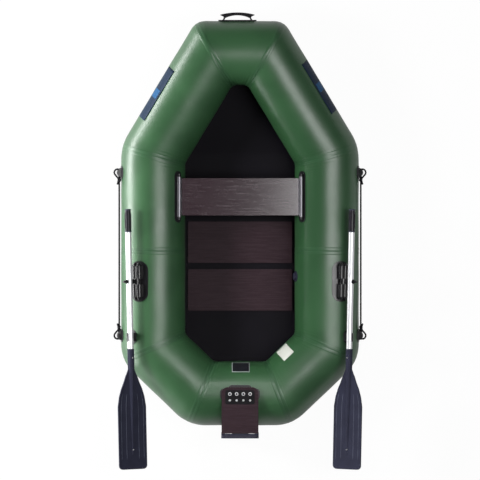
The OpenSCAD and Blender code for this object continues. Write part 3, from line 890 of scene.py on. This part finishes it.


# %% [markdown]
# ## The oars
# The frame's own joints say where each oar lies: the pin is the axis that the
# oar turns on, and the blade points along the axis that the oarlock tilts on.
# A moulded blade is stiffened by a welt round its edge and by ribs that run
# with it, painted pale as a highlight, and two rivets hold it to the tube. The
# grip has flutes for wet hands between two end rings, also painted pale as a
# highlight.


# %% Find the oars
JOINTS = {joint["name"]: joint for joint in frame["joints"]}


class Oar:
    """Places on one oar: out along the pin, along towards the blade, up from it."""

    def __init__(self, side):
        self.side = side
        self.pin = Vector(JOINTS[f"{side}_oar_sweep"]["pos_m"])
        self.out = Vector(JOINTS[f"{side}_oar_sweep"]["axis"]).normalized()
        self.out *= SIDES[side] * math.copysign(1, self.out.x)
        self.along = Vector(JOINTS[f"{side}_oarlock_tilt"]["axis"]).normalized()
        self.along *= -math.copysign(1, self.along.y)
        self.up = self.out.cross(self.along)
        self.up *= math.copysign(1, self.up.z)

    def at(self, out, along, up):
        return self.pin + self.out * out + self.along * along + self.up * up

    def measure(self, node):
        """The node's vertices as out, along and up."""
        local = [v.co - self.pin for v in frame["nodes"][node].data.vertices]
        return np.array([(p.dot(self.out), p.dot(self.along), p.dot(self.up)) for p in local])


OARS = [Oar(side) for side in SIDES]
for oar in OARS:
    print(oar.side, "pin", [round(c, 3) for c in oar.pin])

# %% Rib the blades
WELT_R, WELT_INSET, WELT_SWELL = 0.0030, 0.8, 1.5
WELT_START = 0.16
RIB_R = 0.0019
RIB_SHARES = (-0.80, -0.44, 0.44, 0.80)
RIB_START, RIB_STOP, RIB_POINTS = 0.36, 0.07, 30
RIB_SUNK = 0.4
SPINE_HALF = 0.0192
PLATE_FROM = 0.06
TIP_CORNER = 0.012
SAME_RING = 0.001


def blade_trim(oar):
    shape = oar.measure(f"{oar.side}_oar_blade")
    root, tip = shape[:, 1].min(), shape[:, 1].max()
    length = tip - root
    outline = [(a, shape[np.abs(shape[:, 1] - a) < SAME_RING, 0].max())
               for a in sorted({round(a, 3) for a in shape[:, 1]})]
    stations, halves = zip(*[(a, half) for a, half in outline if half > SPINE_HALF])
    plate = shape[np.abs(shape[:, 0]) > PLATE_FROM, 2].max()
    edge = [(half - WELT_R * WELT_INSET, a) for a, half in zip(stations, halves)
            if root + WELT_START * length < a < tip - SAME_RING]
    edge += [(edge[-1][0] - TIP_CORNER, tip - WELT_R), (0, tip - WELT_R)]
    rim, other = [[oar.at(sign * w, a, 0) for w, a in edge] for sign in (1, -1)]
    beads(f"{oar.side}_blade_welt", [rim + other[::-1][1:]], WELT_R * WELT_SWELL,
          "black_plastic", f"{oar.side}_oar")
    ribs = []
    for face in (-1, 1):
        for share in RIB_SHARES:
            ribs.append([oar.at(share * np.interp(a, stations, halves), a,
                                face * (plate - RIB_SUNK * RIB_R))
                         for a in np.linspace(root + RIB_START * length,
                                              tip - RIB_STOP * length, RIB_POINTS)])
    # The ribs are painted pale as a highlight.
    beads(f"{oar.side}_blade_ribs", ribs, RIB_R, "painted_highlight_plastic", f"{oar.side}_oar", tip=0.06)


for oar in OARS:
    blade_trim(oar)

# %% Flute the grips
FLUTES, FLUTE_R = 10, 0.0011
FLUTE_START, FLUTE_STOP, FLUTE_POINTS = 0.012, 0.010, 8
RING_R, RING_POINTS = 0.0021, 33
RING_START, RING_STOP = 0.005, 0.004


def grip_trim(oar):
    shape = oar.measure(f"{oar.side}_oar_grip")
    near, far = shape[:, 1].min(), shape[:, 1].max()
    radius = shape[:, 0].max()

    def on_grip(angle, along):
        return oar.at(radius * math.cos(angle), along, radius * math.sin(angle))

    flutes = [[on_grip(2 * math.pi * k / FLUTES, a)
               for a in np.linspace(near + FLUTE_START, far - FLUTE_STOP, FLUTE_POINTS)]
              for k in range(FLUTES)]
    beads(f"{oar.side}_grip_flutes", flutes, FLUTE_R, "grip_black", f"{oar.side}_oar", tip=0.04)
    rings = [[on_grip(angle, a) for angle in np.linspace(0, 2 * math.pi, RING_POINTS)]
             for a in (near + RING_START, far - RING_STOP)]
    # The end rings are painted pale as a highlight.
    beads(f"{oar.side}_grip_rings", rings, RING_R, "painted_highlight_plastic", f"{oar.side}_oar", tip=0.001)
    print(oar.side, "grip", round(far - near, 3), "m long, radius", round(radius, 4))


for oar in OARS:
    grip_trim(oar)

# %% [markdown]
# ## A screw head, many times
# Bolts and rivets are one small turned shape each, set on a handful of points.
# A second tree puts a head on every point it is given and turns it the way
# that the point's own `facing` says.


# %% Build the tree that sets heads
def heads_tree():
    tree = new_tree("heads", {"Head": "NodeSocketObject", "Material": "NodeSocketMaterial"})
    given = add(tree, "NodeGroupInput")
    head = add(tree, "GeometryNodeObjectInfo", {"transform_space": "ORIGINAL"},
               {"Object": given.outputs["Head"]})
    facing = add(tree, "GeometryNodeInputNamedAttribute", {"data_type": "FLOAT_VECTOR"},
                 {"Name": "facing"})
    turn = add(tree, "FunctionNodeAlignRotationToVector", {"axis": "Z"},
               {"Vector": facing.outputs[0]})
    points = add(tree, "GeometryNodeMeshToPoints", inputs={"Mesh": given.outputs["Geometry"]})
    placed = add(tree, "GeometryNodeInstanceOnPoints",
                 inputs={"Points": points.outputs[0], "Instance": head.outputs["Geometry"],
                         "Rotation": turn.outputs[0]})
    finish_tree(tree, placed.outputs[0], given.outputs["Material"])
    return tree


HEADS = heads_tree()


# %% Turn a head and set it
def turned(name, profile, around, hexagons=()):
    """A lathe-turned head about Z from (radius, height) pairs, used only as a
    pattern. The rings whose numbers are in hexagons have six sides."""
    points = []
    for row, (radius, height) in enumerate(profile):
        for i in range(around):
            angle = 2 * math.pi * i / around
            reach = radius
            if row in hexagons:
                reach *= math.cos(math.pi / 6) / math.cos((angle % (math.pi / 3)) - math.pi / 6)
            points.append((reach * math.cos(angle), reach * math.sin(angle), height))
    mesh = new_mesh(name, points, faces=rolled(len(profile), around))
    return bpy.data.objects.new(name, mesh)


def set_heads(name, pattern, places, slot, body="hull"):
    """places are (point, facing) pairs."""
    mesh = new_mesh(name, [point for point, _ in places])
    facing = mesh.attributes.new("facing", "FLOAT_VECTOR", "POINT")
    facing.data.foreach_set("vector", [c for _, f in places for c in f])
    made = settle(set_up(name, mesh), HEADS, {"Head": pattern, "Material": FINISHES[slot]})
    made.data.polygons.foreach_set("use_smooth", [False] * len(made.data.polygons))
    return join_frame(made, slot, body)


# %% [markdown]
# Eight carriage bolts hold the motor board's irons to the plate, on a black
# strip that spreads their load. The front row takes the pull: what shows of it
# is a wide zinc washer and a dark nut. The row behind has plain zinc nuts.

# %% A flat plate with round corners
CORNER_STEPS = 6
BROKEN_EDGE = 0.0005


def rounded_slab(name, centre, size, corner, slot):
    """A flat plate with a broken edge. centre is in the middle of its underside."""
    ring = []
    for quarter, (sx, sy) in enumerate(((1, 1), (-1, 1), (-1, -1), (1, -1))):
        for step in range(CORNER_STEPS + 1):
            angle = math.pi / 2 * (quarter + step / CORNER_STEPS)
            ring.append((sx * (size.x / 2 - corner) + corner * math.cos(angle),
                         sy * (size.y / 2 - corner) + corner * math.sin(angle)))
    points = []
    for inset, height in ((0, 0), (0, size.z - BROKEN_EDGE), (BROKEN_EDGE, size.z)):
        share = 1 - inset / max(size.x, size.y) * 2
        points += [(centre.x + x * share, centre.y + y * share, centre.z + height)
                   for x, y in ring]
    return piece(name, points, rolled(3, len(ring)), slot, smooth=False)


# %% Bolt the transom
BOLT_SPACING = (0.0366, 0.0345)
BOLT_COLUMNS, BOLT_ROWS = 4, 2
BOLTS_BEHIND_FRONT = 0.054
NUT_HEIGHT, BOLT_END = 0.0078, 0.0112
WASHER = [(0.0001, 0.0), (0.0092, 0.0), (0.0095, 0.0008), (0.0090, 0.0017), (0.0001, 0.0017)]
NUT = [(0.0001, 0.0), (0.0064, 0.0), (0.0064, NUT_HEIGHT - 0.001), (0.0056, NUT_HEIGHT),
       (0.0036, NUT_HEIGHT), (0.0036, BOLT_END - 0.001), (0.0028, BOLT_END), (0.0001, BOLT_END)]
STRIP_SIZE, STRIP_CORNER = Vector((0.160, 0.078, 0.0016)), 0.012
plate_top = high("transom_plate")
bolt_middle = Vector((0, plate_top.y - BOLTS_BEHIND_FRONT, plate_top.z))
rounded_slab("transom_bolt_strip", bolt_middle, STRIP_SIZE, STRIP_CORNER, "matt_rubber")
washer = turned("washer", WASHER, around=24)
nut = turned("nut_and_bolt_end", NUT, around=24, hexagons=(1, 2, 3))
places = [(bolt_middle + Vector(((column - (BOLT_COLUMNS - 1) / 2) * BOLT_SPACING[0],
                                 ((BOLT_ROWS - 1) / 2 - row) * BOLT_SPACING[1],
                                 STRIP_SIZE.z)), Z)
          for row in range(BOLT_ROWS) for column in range(BOLT_COLUMNS)]
set_heads("transom_washers", washer, places[:BOLT_COLUMNS], "bracket_steel")
set_heads("transom_front_nuts", nut, places[:BOLT_COLUMNS], "black_plastic")
set_heads("transom_rear_nuts", nut, places[BOLT_COLUMNS:], "bracket_steel")

# %% Edge the motor board with a strip of plastic
EDGE_WIDE, EDGE_THICK = 0.0055, 0.0010
EDGE_SHORTER, EDGE_INSET, EDGE_CORNER = 0.004, 0.0005, 0.0025
board_low, board_high = low("motor_board"), high("motor_board")
edge_size = Vector((board_high.x - board_low.x - EDGE_SHORTER, EDGE_WIDE, EDGE_THICK))
edge_place = Vector((0, board_high.y - edge_size.y / 2 - EDGE_INSET, board_high.z))
rounded_slab("motor_board_edge_strip", edge_place, edge_size, EDGE_CORNER, "black_plastic")

# %% Rivet the oars
RIVET = [(0.0001, -0.001), (0.0042, -0.001), (0.0042, 0.0006), (0.0034, 0.0017),
         (0.0018, 0.0023), (0.0001, 0.0024)]
RIVET_FROM_ROOT, RIVET_FROM_TIP = 0.048, 0.105
SPINE_TOP_AT_TIP = 0.0061
rivet = turned("rivet_head", RIVET, around=16)
for oar in OARS:
    sleeve = oar.measure(f"{oar.side}_oar_blade")
    root, tip = sleeve[:, 1].min(), sleeve[:, 1].max()
    collar = sleeve[np.abs(sleeve[:, 1] - root) < SAME_RING, 2].max()
    places = [(oar.at(0, along, face * height), oar.up * face)
              for along, height in ((root + RIVET_FROM_ROOT, collar),
                                    (tip - RIVET_FROM_TIP, SPINE_TOP_AT_TIP))
              for face in (-1, 1)]
    set_heads(f"{oar.side}_blade_rivets", rivet, places, "bracket_steel", f"{oar.side}_oar")

# %% [markdown]
# ## The grab lines
# Each line is three strands laid round each other. It goes through its eyelet,
# comes back over it and is made fast to itself in a knot. It is pulled tight
# along the side, so it is rigging and not a loose cord. The strands are
# helices about the line's path, swept by the bead tree.


# %% Lay three strands round a path
STRAND_R = 0.0027
LAY_R, LAY_PITCH = 0.0024, 0.026
ROPE_STEP = 0.0022
ASKEW = (0.3, 0.2, 0.9)


def smooth_path(points, spacing):
    """Points every spacing metres along a Catmull-Rom curve through the given ones."""
    points = [np.array(p) for p in points]
    ends = [2 * points[0] - points[1], *points, 2 * points[-1] - points[-2]]
    fine = []
    for a, b, c, d in zip(ends, ends[1:], ends[2:], ends[3:]):
        count = max(2, int(np.linalg.norm(c - b) / spacing))
        for t in np.linspace(0, 1, count, endpoint=False):
            fine.append(0.5 * (2 * b + (c - a) * t + (2 * a - 5 * b + 4 * c - d) * t * t
                               + (3 * b - a - 3 * c + d) * t ** 3))
    fine.append(points[-1])
    return np.array(fine)


def strands(path):
    """Three helices about a path, on a frame carried along it without twist."""
    tangents = np.gradient(path, axis=0)
    tangents /= np.linalg.norm(tangents, axis=1)[:, None]
    side = np.cross(tangents[0], ASKEW)
    walked = np.concatenate([[0], np.cumsum(np.linalg.norm(np.diff(path, axis=0), axis=1))])
    laid = [[], [], []]
    for point, tangent, distance in zip(path, tangents, walked):
        side = side - side @ tangent * tangent
        side /= np.linalg.norm(side)
        other = np.cross(tangent, side)
        for k, strand in enumerate(laid):
            angle = 2 * math.pi * (distance / LAY_PITCH + k / 3)
            strand.append(point + LAY_R * (math.cos(angle) * side + math.sin(angle) * other))
    return laid


# %% Tie the knots and lay the ropes
KNOT_TUBE_R, KNOT_SCALE, KNOT_POINTS = 0.0044, 0.0046, 61
KNOT_LONG, KNOT_WIDE, KNOT_HIGH = 1.15, 0.8, 1.1
KNOT_BACK, KNOT_TURN = 0.036, 0.4
LOOP_R, LOOP_OUT, LOOP_HALF_ANGLE = 0.0185, 0.009, 140
EYELET_INSET = 0.037
TAIL_OUT, TAIL_LONG, TAIL_UP = 0.010, 0.030, 0.004
LINE_SAG = 0.003


def knot(centre, along, outward, turn):
    """The closed path of a hitch pulled tight."""
    across = along.cross(outward)
    path = []
    for t in np.linspace(0, 2 * math.pi, KNOT_POINTS):
        a = math.sin(t) + 2 * math.sin(2 * t)
        b = math.cos(t + turn) - 2 * math.cos(2 * t + turn)
        path.append(centre + KNOT_SCALE * (along * a * KNOT_LONG + across * b * KNOT_WIDE
                                           - outward * math.sin(3 * t) * KNOT_HIGH))
    return path


def grab_line(side):
    line = (low(f"{side}_grab_line") + high(f"{side}_grab_line")) / 2
    outward = Vector((line.x - SIDES[side] * SIDE_X, 0, line.z - TUBE_R)).normalized()
    fore = high(f"{side}_line_eyelets").y - EYELET_INSET
    aft = low(f"{side}_line_eyelets").y + EYELET_INSET
    run = [Vector((line.x, aft + KNOT_BACK + (fore - aft - 2 * KNOT_BACK) * t,
                   line.z - LINE_SAG * math.sin(math.pi * t))) for t in np.linspace(0, 1, 9)]
    paths, knots = [run], []
    for eyelet, way in ((fore, 1), (aft, -1)):
        here = Vector((line.x, eyelet, line.z))
        hitch = here - Y * way * KNOT_BACK
        tail = hitch + outward * TAIL_OUT - Y * way * TAIL_LONG + Z * TAIL_UP
        loop = [here + outward * (LOOP_OUT + LOOP_R * math.sin(t)) + Y * way * LOOP_R * math.cos(t)
                for t in np.radians(np.linspace(-LOOP_HALF_ANGLE, LOOP_HALF_ANGLE, 9))]
        paths.append([hitch, *loop, hitch + outward * TAIL_OUT / 2, tail])
        knots.append(knot(hitch, Y, outward, KNOT_TURN * way))
    laid = [strand for path in paths for strand in strands(smooth_path(path, ROPE_STEP))]
    beads(f"{side}_grab_rope", laid, STRAND_R, "line", tip=0.002,
          replaces=[f"{side}_grab_line"])
    beads(f"{side}_grab_knots", knots, KNOT_TUBE_R, "line", tip=0.001)


for side in SIDES:
    grab_line(side)

# %% [markdown]
# ## Patches on the tubes
# Strips and plates glued to a tube bend with it. A patch is a stretch of a
# slightly larger tube, between two distances along it and two angles round it,
# closed at its back and its rim.


# %% A plate that bends with the tube
PATCH_ROWS, PATCH_ACROSS = 25, 17
RIM_DROP = 0.7


def patch(name, start, end, along, angles, slot, lift=0.0022, thick=0.0012):
    """A plate on the tube from start to end. along is in metres from start. angles
    are in degrees up from the horizontal, on the right of somebody who walks to
    end. Its edge is rubbed down at the rim."""
    heading = (end - start).normalized()
    side = heading.cross(Z).normalized()
    up = side.cross(heading)
    points = []
    for height in (lift + thick, lift):
        for s in np.arange(PATCH_ROWS) / (PATCH_ROWS - 1):
            for t in np.arange(PATCH_ACROSS) / (PATCH_ACROSS - 1):
                place = along[0] + (along[1] - along[0]) * s
                angle = math.radians(angles[0] + (angles[1] - angles[0]) * t)
                out = side * math.cos(angle) + up * math.sin(angle)
                on_rim = height > lift and min(s, 1 - s, t, 1 - t) == 0
                stand = TUBE_R + height - (thick * RIM_DROP if on_rim else 0)
                points.append(start + heading * place + out * stand)
    upper, rim = gridded(PATCH_ROWS, PATCH_ACROSS)
    return piece(name, points, two_sided(upper, rim, PATCH_ROWS * PATCH_ACROSS), slot)


def stretch_at(middle, half, inset=0):
    """The start and end of a stretch with its middle at this distance."""
    return middle - half + inset, middle + half - inset


# %% Lay the strips
STRIP_HALF, STRIP_ANGLES = 0.158, (180 - 12, 180 - 41)
EMBLEM_HALF, EMBLEM_ANGLES = 0.026, (180 - 16, 180 - 37)
EMBLEM_LIFT, EMBLEM_THICK = 0.0036, 0.0005
PORT_FROM_BOW, STARBOARD_FROM_BOW = 0.344, 0.302
port_middle = (bow_point - front_point).length - PORT_FROM_BOW
port_walk = mirrored(front_point), mirrored(bow_point)
starboard_walk = bow_point, front_point
for side, walk, middle in (("port", port_walk, port_middle),
                           ("starboard", starboard_walk, STARBOARD_FROM_BOW)):
    patch(f"{side}_bow_strip", *walk, stretch_at(middle, STRIP_HALF), STRIP_ANGLES, "navy_print")
    patch(f"{side}_bow_emblem", *walk, stretch_at(middle, EMBLEM_HALF), EMBLEM_ANGLES,
          "blue_print", lift=EMBLEM_LIFT, thick=EMBLEM_THICK)

# %% Lay the labels
STICKER_MIDDLE, STICKER_HALF, STICKER_ANGLES = 0.182, 0.036, (14, 52)
LABEL_HALF, LABEL_INSET, LABEL_ASIDE = 0.048, 0.003, 0.004
FRAME_ANGLES, LABEL_ANGLES = (18, 48), (20.5, 47)
LABEL_LIFT, LABEL_THICK = 0.0028, 0.0004
patch("blank_sticker", rear_point, stern_point, stretch_at(STICKER_MIDDLE, STICKER_HALF),
      STICKER_ANGLES, "blank_label", thick=LABEL_THICK)
label_middle = stern_point.x - LABEL_ASIDE
stern_walk = stern_point, mirrored(stern_point)
patch("stern_label_frame", *stern_walk, stretch_at(label_middle, LABEL_HALF), FRAME_ANGLES,
      "pale_print", thick=LABEL_THICK)
patch("stern_label", *stern_walk, stretch_at(label_middle, LABEL_HALF, LABEL_INSET),
      LABEL_ANGLES, "black_label", lift=LABEL_LIFT, thick=LABEL_THICK)
